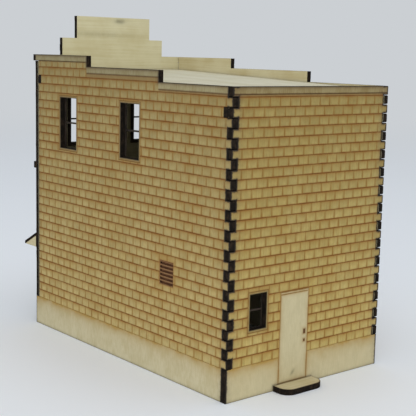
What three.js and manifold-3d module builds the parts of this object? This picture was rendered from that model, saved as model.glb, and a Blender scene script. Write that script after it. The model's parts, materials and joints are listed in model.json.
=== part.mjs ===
// Two-storey shop building for a tabletop battlefield, cut from thin plywood sheet.
// Units are millimetres, +Z is up, the shop front faces -Y, and the ground is z = 0.
import * as THREE from 'three';
import { mergeVertices } from 'three/addons/utils/BufferGeometryUtils.js';
import Module from 'manifold-3d';

const wasm = await Module();
wasm.setup();

// Sheet stock
const SHEET = 3; // plywood of the walls, roof, floor and steps
const TRIM_SHEET = 2; // thinner plywood of the cornice and string course
const AWNING_SHEET = 1.5; // thin plywood of the awning board
const CARD = 1; // card of the window frames
const GAP = 0.3; // glue line between neighbouring pieces
const SLIDE_GAP = 0.5; // play round the lift-off roof

// Stone pattern, which also sets the finger joints
const COURSE = 4.8; // height of one row of blocks
const BLOCK = 6.75; // length of one block
const COURSES = 28; // rows above the plinth
const PLINTH = 3.5 * COURSE;

// Walls
const WIDTH = 16 * BLOCK;
const DEPTH = 26.5 * BLOCK;
const REAR_TOP = PLINTH + COURSES * COURSE;
const PARAPET_STEP = 1.25 * COURSE;
const MID_TOP = REAR_TOP + PARAPET_STEP;
const FRONT_TOP = MID_TOP + PARAPET_STEP;
const FRONT_RUN = 55.7; // length of the tallest stretch of side wall
const REAR_RUN = 57; // length of the lowest stretch of side wall
const SHOULDER = { half: 37.2, top: 173.4 }; // wide step of the false front
const CREST = { half: 27, top: 186.6 }; // narrow step of the false front

// Half sizes used throughout
const X_OUT = WIDTH / 2;
const X_IN = X_OUT - SHEET;
const Y_OUT = DEPTH / 2;
const Y_IN = Y_OUT - SHEET;

// Windows and doors. Side windows are measured from the front face, the others from the middle.
const UPPER_WINDOW = { width: 16.8, bottom: 110.4, top: 139.2 };
const SIDE_WINDOW_STARTS = [28.3, 88.8];
const FRONT_WINDOW_STARTS = [-31.8, 15];
const REAR_WINDOW = { start: 29, width: 10.8, bottom: 34, top: 51.7 };
const SHOP_WINDOW = { width: 27.6, bottom: 19.2, top: 43.2, transom: 36 };
const SHOP_WINDOW_STARTS = [-44.4, 16.8];
const FRONT_DOOR = { half: 10.8, bottom: SHEET, top: 45.6 };
const DOOR_LIGHT = { half: 5.4, bottom: 27.6, top: 41 };
const FRAME_LAP = 2; // how far a card frame laps behind the wall
const GLAZING_BAR = 0.9;

// Louvred vent, a block of blind grooves in each side wall
const VENT = { start: 125.4, width: 10.8, bottom: 49.4, slots: 6, pitch: 2, slot: 1.2, depth: 1 };

// Roof deck, which falls to the rear, and the two bars that it rests on
const DECK_FRONT_TOP = 155.1;
const DECK_REAR_TOP = 149.1;
const BAR_HEIGHT = 9;
const FRONT_TAB_COURSE = 27; // course whose height the front bar's tabs take
const REAR_TAB_COURSE = 25;

// Upper floor and its ledgers
const FLOOR_BOTTOM = PLINTH + 16 * COURSE;
const FLOOR_SIDE_PLAY = 1.6; // lets the floor pass the card frames
const FLOOR_END_PLAY = 1; // lets the floor pass the roof bars
const LEDGER_HEIGHT = COURSE;

// Front trim
const CORNICE = { bottom: 159.6, height: 3.6 };
const STRING_COURSE = { bottom: 95.6, height: 3.9 };
const AWNING = { reach: 13.9, wallTop: 56, tipTop: 48.8, bracketBottom: 47.2 };
const SIDES = ['left', 'right'];
const BRACKET_PLACES = [-X_OUT, -19.5, 16.5, X_OUT - SHEET];
const BRACKET_NAMES = ['left', 'inner_left', 'inner_right', 'right'];

// Doorsteps
const REAR_STEP = { centre: 9.45, half: 13.5, depth: 10, corner: 6 };
const FRONT_STEP = { centre: 0, half: 17, depth: 12, corner: 6 };
const CORNER_SEGMENTS = 6;

const plywood = (color) => new THREE.MeshStandardMaterial({ color, roughness: 0.8, metalness: 0 });
const FINISH = {
  stone: plywood(0xad9866),
  plain: plywood(0xbbb28c),
  roof: plywood(0xc8bea5),
  trim: plywood(0xb0a680),
  card: new THREE.MeshStandardMaterial({ color: 0x4a4034, roughness: 0.9, metalness: 0 }),
};

const building = new THREE.Group();

// Adds a finished geometry to the building as its own named mesh.
function addPiece(name, geometry, finish, x = 0, y = 0, z = 0) {
  const mesh = new THREE.Mesh(geometry, finish);
  mesh.name = name;
  mesh.position.set(x, y, z);
  building.add(mesh);
  return mesh;
}

// Outline through a list of [a, b] corners.
function outline(corners) {
  return new THREE.Shape(corners.map(([a, b]) => new THREE.Vector2(a, b)));
}

// Turns a closed three.js geometry into a solid that can be cut.
function toSolid(geometry) {
  const bare = geometry.clone();
  bare.deleteAttribute('normal');
  bare.deleteAttribute('uv');
  const merged = mergeVertices(bare);
  const vertProperties = new Float32Array(merged.attributes.position.array);
  const triVerts = new Uint32Array(merged.index.array);
  return new wasm.Manifold(new wasm.Mesh({ numProp: 3, vertProperties, triVerts }));
}

function toGeometry(solid) {
  const { vertProperties, triVerts } = solid.getMesh();
  const geometry = new THREE.BufferGeometry();
  geometry.setAttribute('position', new THREE.BufferAttribute(new Float32Array(vertProperties), 3));
  geometry.setIndex(new THREE.BufferAttribute(new Uint32Array(triVerts), 1));
  geometry.computeVertexNormals();
  return geometry;
}

// A rectangular cut in a sheet, from corner [a0, b0] to [a1, b1] of its outline. It goes right
// through unless `depths` says between which depths of the sheet it lies.
function cut(a0, b0, a1, b1, depths = [-SHEET, 2 * SHEET]) {
  const box = new THREE.BoxGeometry(a1 - a0, b1 - b0, depths[1] - depths[0]);
  return box.translate((a0 + a1) / 2, (b0 + b1) / 2, (depths[0] + depths[1]) / 2);
}

// A flat sheet of the given outline, lying on z = 0, with its cuts taken out.
function cutSheet(shape, thickness, cuts = []) {
  const options = { depth: thickness, bevelEnabled: false, curveSegments: CORNER_SEGMENTS };
  const blank = new THREE.ExtrudeGeometry(shape, options);
  if (cuts.length === 0) {
    return blank;
  }
  const solid = cuts.reduce((rest, tool) => rest.subtract(toSolid(tool)), toSolid(blank));
  return toGeometry(solid);
}

// A sheet standing along the building: the outline is drawn in (y, z) and grows towards +X.
function lengthwiseSheet(shape, thickness, cuts) {
  const yAxis = new THREE.Vector3(0, 1, 0);
  const zAxis = new THREE.Vector3(0, 0, 1);
  const xAxis = new THREE.Vector3(1, 0, 0);
  const turn = new THREE.Matrix4().makeBasis(yAxis, zAxis, xAxis);
  return cutSheet(shape, thickness, cuts).applyMatrix4(turn);
}

// A sheet standing across the building: the outline is drawn in (x, z) and grows towards -Y.
function crosswiseSheet(shape, thickness, cuts) {
  return cutSheet(shape, thickness, cuts).rotateX(Math.PI / 2);
}

// Corners of a finger-jointed upright edge, from the plinth up. The edge reaches `out` in the
// courses that the wall owns and stands at `back(course)` where the neighbour's fingers pass.
function fingerEdge(plinthReach, out, back, ownsCourse) {
  const corners = [[plinthReach, PLINTH + (ownsCourse(0) ? GAP / 2 : -GAP / 2)]];
  for (let course = 0; course < COURSES; course += 1) {
    const reach = ownsCourse(course) ? out : back(course);
    const inset = ownsCourse(course) ? GAP / 2 : -GAP / 2;
    const isTop = course === COURSES - 1;
    const bottom = PLINTH + course * COURSE + inset;
    const top = PLINTH + (course + 1) * COURSE - inset;
    corners.push([reach, bottom], [reach, isTop ? REAR_TOP : top]);
  }
  return corners;
}

const isEven = (course) => course % 2 === 0;
const isOdd = (course) => course % 2 === 1;

// Side wall outline in (y, z): stepped parapet, fingers at the rear, a foot and a coping that cover
// the front wall's end at the bottom and the top, and a notch at each end for the roof bars' tabs.
function sideWallOutline() {
  const front = -Y_OUT;
  const behindFront = -Y_IN + GAP;
  const stepOne = -Y_OUT + FRONT_RUN;
  const stepTwo = Y_OUT - REAR_RUN;
  const notch = SHEET + GAP;
  const notchBottom = PLINTH + FRONT_TAB_COURSE * COURSE - GAP / 2;
  const notchTop = PLINTH + (FRONT_TAB_COURSE + 1) * COURSE + GAP / 2;
  const rearBack = (course) => Y_IN - GAP - (course === REAR_TAB_COURSE ? notch : 0);
  return outline([
    [front, 0],
    [Y_IN - GAP, 0],
    ...fingerEdge(Y_IN - GAP, Y_OUT, rearBack, isEven),
    [stepTwo, REAR_TOP],
    [stepTwo, MID_TOP],
    [stepOne, MID_TOP],
    [stepOne, FRONT_TOP],
    [front, FRONT_TOP],
    [front, CORNICE.bottom + GAP / 2],
    [behindFront, CORNICE.bottom + GAP / 2],
    [behindFront, notchTop],
    [behindFront + notch, notchTop],
    [behindFront + notch, notchBottom],
    [behindFront, notchBottom],
    [behindFront, PLINTH - GAP / 2],
    [front, PLINTH - GAP / 2],
  ]);
}

function sideWindows() {
  return SIDE_WINDOW_STARTS.map((start) => {
    const y = -Y_OUT + start;
    return cut(y, UPPER_WINDOW.bottom, y + UPPER_WINDOW.width, UPPER_WINDOW.top);
  });
}

// The louvre's grooves in a side wall's outer face, between two depths of the sheet.
function ventGrooves(depths) {
  const y = -Y_OUT + VENT.start;
  return Array.from({ length: VENT.slots }, (_, slot) => {
    const z = VENT.bottom + slot * VENT.pitch;
    return cut(y, z, y + VENT.width, z + VENT.slot, depths);
  });
}

function addSideWalls() {
  const shape = sideWallOutline();
  const rightCuts = [...sideWindows(), ...ventGrooves([SHEET - VENT.depth, 2 * SHEET])];
  const leftCuts = [...sideWindows(), ...ventGrooves([-SHEET, VENT.depth])];
  addPiece('side_wall_right', lengthwiseSheet(shape, SHEET, rightCuts), FINISH.stone, X_IN);
  addPiece('side_wall_left', lengthwiseSheet(shape, SHEET, leftCuts), FINISH.stone, -X_OUT);
}

function addRearWall() {
  const rightEdge = fingerEdge(X_OUT, X_OUT, () => X_IN - GAP, isOdd);
  const leftEdge = rightEdge.map(([x, z]) => [-x, z]).reverse();
  const shape = outline([[-X_OUT, 0], [X_OUT, 0], ...rightEdge, ...leftEdge]);
  const { start, width, bottom, top } = REAR_WINDOW;
  const cuts = [cut(start, bottom, start + width, top)];
  addPiece('rear_wall', crosswiseSheet(shape, SHEET, cuts), FINISH.stone, 0, Y_OUT);
}

// Front wall outline in (x, z), one half: it stands between the side walls at the plinth and at
// their coping, covers them in between, and rises as the two-stepped false front.
function frontWallHalf() {
  return [
    [X_IN - GAP, 0],
    [X_IN - GAP, PLINTH + GAP / 2],
    [X_OUT, PLINTH + GAP / 2],
    [X_OUT, CORNICE.bottom - GAP / 2],
    [X_IN - GAP, CORNICE.bottom - GAP / 2],
    [X_IN - GAP, FRONT_TOP],
    [SHOULDER.half, FRONT_TOP],
    [SHOULDER.half, SHOULDER.top],
    [CREST.half, SHOULDER.top],
    [CREST.half, CREST.top],
  ];
}

function addFrontWall() {
  const right = frontWallHalf();
  const left = right.map(([x, z]) => [-x, z]).reverse();
  const shape = outline([...right, ...left]);
  const upper = FRONT_WINDOW_STARTS.map((x) => (
    cut(x, UPPER_WINDOW.bottom, x + UPPER_WINDOW.width, UPPER_WINDOW.top)
  ));
  const display = SHOP_WINDOW_STARTS.map((x) => (
    cut(x, SHOP_WINDOW.bottom, x + SHOP_WINDOW.width, SHOP_WINDOW.top)
  ));
  const doorway = cut(-FRONT_DOOR.half, FRONT_DOOR.bottom, FRONT_DOOR.half, FRONT_DOOR.top);
  const cuts = [...upper, ...display, doorway];
  addPiece('front_wall', crosswiseSheet(shape, SHEET, cuts), FINISH.stone, 0, -Y_IN);
}

// The outline and cuts of a card frame round one opening, with a glazing bar across at the height
// `sash`, and one upright bar in the middle where `mullion` is true.
function cardFrame(start, width, bottom, top, sash, mullion = false) {
  const end = start + width;
  const middle = start + width / 2;
  const half = GLAZING_BAR / 2;
  const low = bottom - FRAME_LAP;
  const high = top + FRAME_LAP;
  const left = start - FRAME_LAP;
  const right = end + FRAME_LAP;
  const columns = mullion ? [[start, middle - half], [middle + half, end]] : [[start, end]];
  const rows = [[bottom, sash - half], [sash + half, top]];
  const panes = columns.flatMap(([a0, a1]) => rows.map(([b0, b1]) => cut(a0, b0, a1, b1)));
  return [outline([[left, low], [right, low], [right, high], [left, high]]), CARD, panes];
}

function addWindowFrames() {
  const { width, bottom, top } = UPPER_WINDOW;
  const middle = (bottom + top) / 2;
  const frontY = -Y_IN + GAP + CARD;
  SIDE_WINDOW_STARTS.forEach((start, index) => {
    const frame = lengthwiseSheet(...cardFrame(-Y_OUT + start, width, bottom, top, middle));
    const place = ['front', 'rear'][index];
    addPiece(`window_right_${place}`, frame, FINISH.card, X_IN - GAP - CARD);
    addPiece(`window_left_${place}`, frame.clone(), FINISH.card, -X_IN + GAP);
  });
  FRONT_WINDOW_STARTS.forEach((start, index) => {
    const frame = crosswiseSheet(...cardFrame(start, width, bottom, top, middle));
    addPiece(`window_front_${SIDES[index]}`, frame, FINISH.card, 0, frontY);
  });
  SHOP_WINDOW_STARTS.forEach((start, index) => {
    const shop = SHOP_WINDOW;
    const frame = cardFrame(start, shop.width, shop.bottom, shop.top, shop.transom, true);
    addPiece(`shop_window_${SIDES[index]}`, crosswiseSheet(...frame), FINISH.card, 0, frontY);
  });
  const rear = REAR_WINDOW;
  const sash = (rear.bottom + rear.top) / 2;
  const frame = crosswiseSheet(...cardFrame(rear.start, rear.width, rear.bottom, rear.top, sash));
  addPiece('window_rear', frame, FINISH.card, 0, Y_IN - GAP);
}

// Front door, a leaf with one glazed light, glued behind its opening.
function addFrontDoor() {
  const half = FRONT_DOOR.half + FRAME_LAP;
  const top = FRONT_DOOR.top + FRAME_LAP;
  const shape = outline([[-half, GAP], [half, GAP], [half, top], [-half, top]]);
  const light = cut(-DOOR_LIGHT.half, DOOR_LIGHT.bottom, DOOR_LIGHT.half, DOOR_LIGHT.top);
  const leaf = crosswiseSheet(shape, TRIM_SHEET, [light]);
  addPiece('front_door', leaf, FINISH.plain, 0, -Y_IN + GAP + TRIM_SHEET);
}

// A cross bar under the roof deck, with a tab at each end that passes through the side walls.
function roofBar(barBottom, tabCourse) {
  const inner = X_IN - GAP;
  const tabBottom = PLINTH + tabCourse * COURSE + GAP / 2;
  const tabTop = PLINTH + (tabCourse + 1) * COURSE - GAP / 2;
  const right = [
    [inner, barBottom],
    [inner, tabBottom],
    [X_OUT, tabBottom],
    [X_OUT, tabTop],
    [inner, tabTop],
    [inner, barBottom + BAR_HEIGHT],
  ];
  const left = right.map(([x, z]) => [-x, z]).reverse();
  return crosswiseSheet(outline([...right, ...left]), SHEET);
}

function addRoof() {
  const reach = Y_IN - SLIDE_GAP;
  const profile = outline([
    [-reach, DECK_FRONT_TOP - SHEET],
    [reach, DECK_REAR_TOP - SHEET],
    [reach, DECK_REAR_TOP],
    [-reach, DECK_FRONT_TOP],
  ]);
  const span = 2 * (X_IN - SLIDE_GAP);
  addPiece('roof_deck', lengthwiseSheet(profile, span), FINISH.roof, -span / 2);

  const frontBottom = DECK_FRONT_TOP - SHEET - 2 * GAP - BAR_HEIGHT;
  const rearBottom = DECK_REAR_TOP - SHEET - GAP - BAR_HEIGHT;
  addPiece('roof_bar_front', roofBar(frontBottom, FRONT_TAB_COURSE), FINISH.plain, 0, -Y_IN + GAP + SHEET);
  addPiece('roof_bar_rear', roofBar(rearBottom, REAR_TAB_COURSE), FINISH.plain, 0, Y_IN - GAP);
}

function addUpperFloor() {
  const halfX = X_IN - FLOOR_SIDE_PLAY;
  const halfY = Y_IN - SHEET - GAP - FLOOR_END_PLAY;
  const floor = outline([[-halfX, -halfY], [halfX, -halfY], [halfX, halfY], [-halfX, halfY]]);
  addPiece('upper_floor', cutSheet(floor, SHEET), FINISH.plain, 0, 0, FLOOR_BOTTOM);

  const ledger = new THREE.BoxGeometry(SHEET, 2 * halfY, LEDGER_HEIGHT);
  const x = X_IN - GAP - SHEET / 2;
  const z = FLOOR_BOTTOM - GAP - LEDGER_HEIGHT / 2;
  addPiece('floor_ledger_right', ledger, FINISH.plain, x, 0, z);
  addPiece('floor_ledger_left', ledger.clone(), FINISH.plain, -x, 0, z);
}

function addFrontTrim() {
  const strip = (band) => new THREE.BoxGeometry(WIDTH, TRIM_SHEET, band.height);
  const y = -Y_OUT - GAP - TRIM_SHEET / 2;
  addPiece('cornice', strip(CORNICE), FINISH.trim, 0, y, CORNICE.bottom + CORNICE.height / 2);
  const beltZ = STRING_COURSE.bottom + STRING_COURSE.height / 2;
  addPiece('string_course', strip(STRING_COURSE), FINISH.trim, 0, y, beltZ);
}

// Awning: a thin sloping board on four triangular brackets.
function addAwning() {
  const wall = -Y_OUT - GAP;
  const tip = -Y_OUT - AWNING.reach;
  const boardDrop = AWNING_SHEET / Math.cos(Math.atan2(AWNING.wallTop - AWNING.tipTop, AWNING.reach));
  const board = outline([
    [wall, AWNING.wallTop],
    [tip, AWNING.tipTop],
    [tip, AWNING.tipTop - boardDrop],
    [wall, AWNING.wallTop - boardDrop],
  ]);
  addPiece('awning_board', lengthwiseSheet(board, WIDTH), FINISH.trim, -X_OUT);

  const slope = (AWNING.wallTop - AWNING.tipTop) / (AWNING.reach - GAP);
  const seat = AWNING.wallTop - boardDrop - GAP;
  const bracketTip = wall - (seat - AWNING.bracketBottom) / slope;
  const bracket = outline([[wall, AWNING.bracketBottom], [wall, seat], [bracketTip, AWNING.bracketBottom]]);
  BRACKET_PLACES.forEach((x, index) => {
    addPiece(`awning_bracket_${BRACKET_NAMES[index]}`, lengthwiseSheet(bracket, SHEET), FINISH.plain, x);
  });
}

// A doorstep slab drawn in (x, y) with its back edge on y = 0 and its outer corners rounded.
function doorstep({ half, depth, corner }) {
  const shape = new THREE.Shape();
  shape.moveTo(-half, 0);
  shape.lineTo(half, 0);
  shape.lineTo(half, depth - corner);
  shape.absarc(half - corner, depth - corner, corner, 0, Math.PI / 2, false);
  shape.absarc(-half + corner, depth - corner, corner, Math.PI / 2, Math.PI, false);
  shape.lineTo(-half, 0);
  return cutSheet(shape, SHEET);
}

function addDoorsteps() {
  addPiece('rear_doorstep', doorstep(REAR_STEP), FINISH.plain, REAR_STEP.centre, Y_OUT + GAP, 0);
  const front = doorstep(FRONT_STEP).rotateZ(Math.PI);
  addPiece('front_doorstep', front, FINISH.plain, FRONT_STEP.centre, -Y_OUT - GAP, 0);
}

addSideWalls();
addRearWall();
addFrontWall();
addWindowFrames();
addFrontDoor();
addRoof();
addUpperFloor();
addFrontTrim();
addAwning();
addDoorsteps();

// The origin is on the ground under the middle of the whole outline, awning and step included.
const frontReach = Y_OUT + AWNING.reach;
const rearReach = Y_OUT + GAP + REAR_STEP.depth;
building.position.y = (frontReach - rearReach) / 2;

const root = new THREE.Group();
root.add(building);

export default root;
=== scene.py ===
"""Two-storey shop building for a tabletop battlefield, cut and engraved from thin plywood sheet.

The frame is in metres. Sizes in this file are in millimetres unless a comment says otherwise.
"""
import json
import logging
import math
from collections.abc import Callable, Iterator
from contextlib import contextmanager
from dataclasses import dataclass, field
from enum import Enum

import bmesh
import bpy
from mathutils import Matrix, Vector

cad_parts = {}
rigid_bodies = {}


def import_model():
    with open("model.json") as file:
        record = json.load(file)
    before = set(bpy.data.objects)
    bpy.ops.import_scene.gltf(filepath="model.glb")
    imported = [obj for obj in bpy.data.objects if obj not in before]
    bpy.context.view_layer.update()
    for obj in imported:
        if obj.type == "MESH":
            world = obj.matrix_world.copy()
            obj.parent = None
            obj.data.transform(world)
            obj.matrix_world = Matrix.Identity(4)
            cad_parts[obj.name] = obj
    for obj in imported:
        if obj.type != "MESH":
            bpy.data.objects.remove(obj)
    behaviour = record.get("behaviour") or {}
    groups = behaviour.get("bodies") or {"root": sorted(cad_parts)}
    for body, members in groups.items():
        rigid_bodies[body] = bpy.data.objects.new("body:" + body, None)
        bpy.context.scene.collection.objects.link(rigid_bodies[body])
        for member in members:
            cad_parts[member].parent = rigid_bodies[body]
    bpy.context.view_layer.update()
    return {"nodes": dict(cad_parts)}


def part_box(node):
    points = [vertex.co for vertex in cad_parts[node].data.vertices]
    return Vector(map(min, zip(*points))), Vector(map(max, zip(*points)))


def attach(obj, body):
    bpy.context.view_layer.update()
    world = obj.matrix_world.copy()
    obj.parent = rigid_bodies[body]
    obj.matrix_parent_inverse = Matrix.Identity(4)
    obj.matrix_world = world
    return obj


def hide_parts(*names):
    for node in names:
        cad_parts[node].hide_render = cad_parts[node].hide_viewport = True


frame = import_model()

MM = 0.001  # metres in a millimetre
TINY = 0.02  # two places closer than this are the same

SHEET = 3.0  # plywood of the walls
FRAME_LAP = 2.0  # how far a card frame laps behind its wall
COURSE = 4.8  # height of one row of blocks
PLINTH = 16.8
COPING = 3.6  # plain band along the top of every wall
PARAPET_STEP = 6.0
LOWEST_BLOCK = 3.0  # a strip lower than this under the coping carries no joints
CUT_BACK = 3.3  # from the corner to where the neighbour's finger passes
CORNER_CAP = 159.6  # the side walls cover the front corners above this height
SCORCH_REACH = 1.9  # how far the golden scorch fades down from a line
HEIGHT_SHADE_PER_MM = 0.0025  # painted shade: how much darker the blocks get with every millimetre of height, as the upper wall gets less light
ROOF_LINE = 146.0  # lowest edge of the roof deck: the inside is darkened below it with painted shade, as shade falls inside the building
RIM = "rim"  # vertex attribute: 1 at a burnt rim
ZONE = "zone"  # face layer: number of the area between engraved lines
FAR = 50.0  # a distance at which no mark shows
FLAT = math.radians(0.5)  # faces that meet at less than this are one face
SHARP = math.radians(30)  # edges that turn more than this are softened
FACES_OUT = 0.9  # how nearly a face must look outward to be engraved

Colour = tuple[float, float, float]
Piece = bpy.types.Object
Socket = bpy.types.NodeSocket
Part = bmesh.types.BMVert | bmesh.types.BMEdge | bmesh.types.BMFace

log = logging.getLogger("building")


# ---------------- places and outlines


class Facing(Enum):
    """The way that a wall's engraved face looks: the axis across the sheet, and its sign."""

    RIGHT = (0, 1)
    LEFT = (0, -1)
    REAR = (1, 1)
    FRONT = (1, -1)

    @property
    def across(self) -> int:
        """Index of the axis that goes through the sheet."""
        return self.value[0]

    @property
    def along(self) -> int:
        """Index of the level axis that runs along the wall."""
        return 1 - self.value[0]

    @property
    def outward(self) -> Vector:
        """Unit vector out of the engraved face."""
        direction = Vector((0, 0, 0))
        direction[self.across] = self.value[1]
        return direction


@dataclass(frozen=True)
class Rect:
    """An upright rectangle on a wall's face: u runs along the wall and v up it."""

    u0: float
    u1: float
    v0: float
    v1: float

    def grown(self, margin: float) -> "Rect":
        """The rectangle that lies outside this one by the margin."""
        return Rect(self.u0 - margin, self.u1 + margin, self.v0 - margin, self.v1 + margin)

    def holds(self, u: float, v: float) -> bool:
        """Whether the point is inside, clear of the outline."""
        return self.u0 + TINY < u < self.u1 - TINY and self.v0 + TINY < v < self.v1 - TINY

    def outlines(self, u: float, v: float) -> bool:
        """Whether the point is on the outline."""
        within = self.u0 - TINY < u < self.u1 + TINY and self.v0 - TINY < v < self.v1 + TINY
        return within and not self.holds(u, v)


def opening_rect(node: str, facing: Facing) -> Rect:
    """Outline of a wall's opening, which a frame or a door overlaps all round.

    Args:
        node: CAD node that fills the opening from behind.
        facing: The wall's facing.

    Returns:
        The opening's outline.
    """
    low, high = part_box(node)
    u = facing.along
    return Rect(low[u] / MM, high[u] / MM, low.z / MM, high.z / MM).grown(-FRAME_LAP)


# ---------------- node graphs


@dataclass(frozen=True)
class Value:
    """One number of a material's node graph, with the arithmetic that makes more of them."""

    graph: "Graph"
    socket: Socket

    def __add__(self, other: "Value | float") -> "Value":
        """Sum."""
        return self.graph.math("ADD", self, other)

    def __sub__(self, other: "Value | float") -> "Value":
        """Difference."""
        return self.graph.math("SUBTRACT", self, other)

    def __rsub__(self, other: float) -> "Value":
        """Difference from a plain number."""
        return self.graph.math("SUBTRACT", other, self)

    def __mul__(self, other: "Value | float") -> "Value":
        """Product."""
        return self.graph.math("MULTIPLY", self, other)

    def __truediv__(self, other: float) -> "Value":
        """Quotient by a plain number."""
        return self.graph.math("DIVIDE", self, other)

    def __abs__(self) -> "Value":
        """Size without sign."""
        return self.graph.math("ABSOLUTE", self)

    def least(self, other: "Value | float") -> "Value":
        """The smaller of two."""
        return self.graph.math("MINIMUM", self, other)

    def most(self, other: "Value | float") -> "Value":
        """The larger of two."""
        return self.graph.math("MAXIMUM", self, other)

    def above(self, limit: "Value | float") -> "Value":
        """1 where this is over the limit, else 0."""
        return self.graph.math("GREATER_THAN", self, limit)

    def below(self, limit: "Value | float") -> "Value":
        """1 where this is under the limit, else 0."""
        return self.graph.math("LESS_THAN", self, limit)

    def floor(self) -> "Value":
        """Whole part."""
        return self.graph.math("FLOOR", self)

    def share(self) -> "Value":
        """What is left over the whole part, 0 to 1."""
        return self.graph.math("FRACT", self)

    def falloff(self, reach: float, power: float = 1.0) -> "Value":
        """Strength of a mark at this distance from it.

        Args:
            reach: Distance over which the mark fades.
            power: Above 1, the mark keeps a flat middle and a steeper side.

        Returns:
            1 at no distance, falling to 0.
        """
        scaled = self.most(0.0) / reach
        if power != 1.0:
            scaled = self.graph.math("POWER", scaled, power)
        return self.graph.math("EXPONENT", scaled * -1.0)

    def ease(self, start: float, end: float, low: float = 0.0, high: float = 1.0) -> "Value":
        """A smooth change of this value's range.

        Args:
            start: Where the change starts.
            end: Where it ends.
            low: Result before the start.
            high: Result after the end.

        Returns:
            The eased value.
        """
        node = self.graph.node("ShaderNodeMapRange", interpolation_type="SMOOTHSTEP")
        self.graph.feed(node.inputs["Value"], self)
        ends = (("From Min", start), ("From Max", end), ("To Min", low), ("To Max", high))
        for name, number in ends:
            node.inputs[name].default_value = number
        return Value(self.graph, node.outputs["Result"])


def srgb(red: int, green: int, blue: int) -> Colour:
    """Linear colour of a display colour given from 0 to 255."""
    def linear(level: float) -> float:
        """Light of one channel."""
        return level / 12.92 if level <= 0.04045 else ((level + 0.055) / 1.055) ** 2.4

    return (linear(red / 255), linear(green / 255), linear(blue / 255))


class Graph:
    """A material's node graph, written as arithmetic on places in millimetres."""

    def __init__(self, name: str) -> None:
        """Starts a material of that name with nothing in it."""
        self.material = bpy.data.materials.new(name)
        self.material.use_nodes = True
        self.tree = self.material.node_tree
        self.tree.nodes.clear()
        place = self.node("ShaderNodeTexCoord").outputs["Object"]
        scale = self.node("ShaderNodeVectorMath", operation="SCALE")
        scale.inputs["Scale"].default_value = 1 / MM
        self.feed(scale.inputs[0], place)
        self.place = scale.outputs["Vector"]
        parts = self.node("ShaderNodeSeparateXYZ")
        self.feed(parts.inputs[0], self.place)
        self.axes = tuple(Value(self, parts.outputs[i]) for i in range(3))

    def node(self, kind: str, **settings: object) -> bpy.types.Node:
        """Adds a node and sets its options."""
        made = self.tree.nodes.new(kind)
        for name, setting in settings.items():
            setattr(made, name, setting)
        return made

    def feed(self, socket: Socket, source: "Value | Socket | float") -> None:
        """Gives a socket its source, a number or another socket."""
        if isinstance(source, Value):
            self.tree.links.new(source.socket, socket)
        elif isinstance(source, Socket):
            self.tree.links.new(source, socket)
        else:
            socket.default_value = source

    def attribute(self, name: str) -> Value:
        """A number that the mesh carries at each vertex."""
        made = self.node("ShaderNodeAttribute", attribute_name=name)
        return Value(self, made.outputs["Fac"])

    def math(self, operation: str, *inputs: "Value | float") -> Value:
        """A Math node of one or two inputs."""
        made = self.node("ShaderNodeMath", operation=operation)
        for index, source in enumerate(inputs):
            self.feed(made.inputs[index], source)
        return Value(self, made.outputs[0])

    def noise(self, stretch: Colour | float, detail: float, rough: float, shift: float) -> Value:
        """Cloudy noise round 0.5.

        Args:
            stretch: Size of the clouds, or their sizes along X, Y and Z.
            detail: Number of finer layers.
            rough: Strength of the finer layers.
            shift: Moves the pattern, so that two noises differ.

        Returns:
            The noise, from 0 to 1.
        """
        sizes = (stretch,) * 3 if isinstance(stretch, float) else stretch
        mapping = self.node("ShaderNodeMapping")
        mapping.inputs["Scale"].default_value = tuple(1 / size for size in sizes)
        mapping.inputs["Location"].default_value = (shift, shift * 1.7, shift * 2.3)
        self.feed(mapping.inputs["Vector"], self.place)
        made = self.node("ShaderNodeTexNoise", noise_dimensions="3D")
        made.inputs["Scale"].default_value = 1.0
        made.inputs["Detail"].default_value = detail
        made.inputs["Roughness"].default_value = rough
        self.feed(made.inputs["Vector"], mapping.outputs["Vector"])
        return Value(self, made.outputs["Fac"])

    def cell(self, *parts: Value) -> Value:
        """A number from 0 to 1 that is the same all over one cell and different in the next."""
        join = self.node("ShaderNodeCombineXYZ")
        for index, part in enumerate(parts):
            self.feed(join.inputs[index], part)
        made = self.node("ShaderNodeTexWhiteNoise", noise_dimensions="3D")
        self.feed(made.inputs["Vector"], join.outputs[0])
        return Value(self, made.outputs["Value"])

    def blend(self, share: Value, first: "Colour | Socket",
              second: "Colour | Socket") -> Socket:
        """The first colour where the share is 0 and the second where it is 1."""
        made = self.node("ShaderNodeMix", data_type="RGBA", clamp_factor=True)
        self.feed(made.inputs[0], share)
        for socket, colour in ((made.inputs[6], first), (made.inputs[7], second)):
            self.feed(socket, colour if isinstance(colour, Socket) else (*colour, 1.0))
        return made.outputs[2]

    def shade(self, colour: Socket, factor: Value) -> Socket:
        """A colour made lighter or darker by a factor round 1."""
        made = self.node("ShaderNodeVectorMath", operation="SCALE")
        self.feed(made.inputs[0], colour)
        self.feed(made.inputs["Scale"], factor)
        return made.outputs["Vector"]

    def finish(self, colour: Socket, rough: Value, height: Value, relief: float,
               gloss: float) -> bpy.types.Material:
        """Closes the graph with a shader.

        Args:
            colour: Base colour.
            rough: Roughness.
            height: Height of the fine relief, 0 to 1.
            relief: What a height of 1 stands for.
            gloss: Specular level.

        Returns:
            The finished material.
        """
        bump = self.node("ShaderNodeBump")
        bump.inputs["Distance"].default_value = relief * MM
        self.feed(bump.inputs["Height"], height)
        shader = self.paint(colour, rough, gloss)
        self.feed(shader.inputs["Normal"], bump.outputs["Normal"])
        return self.close(shader)

    def paint(self, colour: Socket, rough: "Value | float", gloss: float) -> bpy.types.Node:
        """A Principled shader of that colour, roughness and specular level."""
        shader = self.node("ShaderNodeBsdfPrincipled")
        self.feed(shader.inputs["Base Color"], colour)
        self.feed(shader.inputs["Roughness"], rough)
        shader.inputs["Specular IOR Level"].default_value = gloss
        return shader

    def close(self, shader: bpy.types.Node) -> bpy.types.Material:
        """Joins the shader to the material's surface."""
        out = self.node("ShaderNodeOutputMaterial")
        self.feed(out.inputs["Surface"], shader.outputs[0])
        return self.material


# ---------------- finishes


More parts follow.
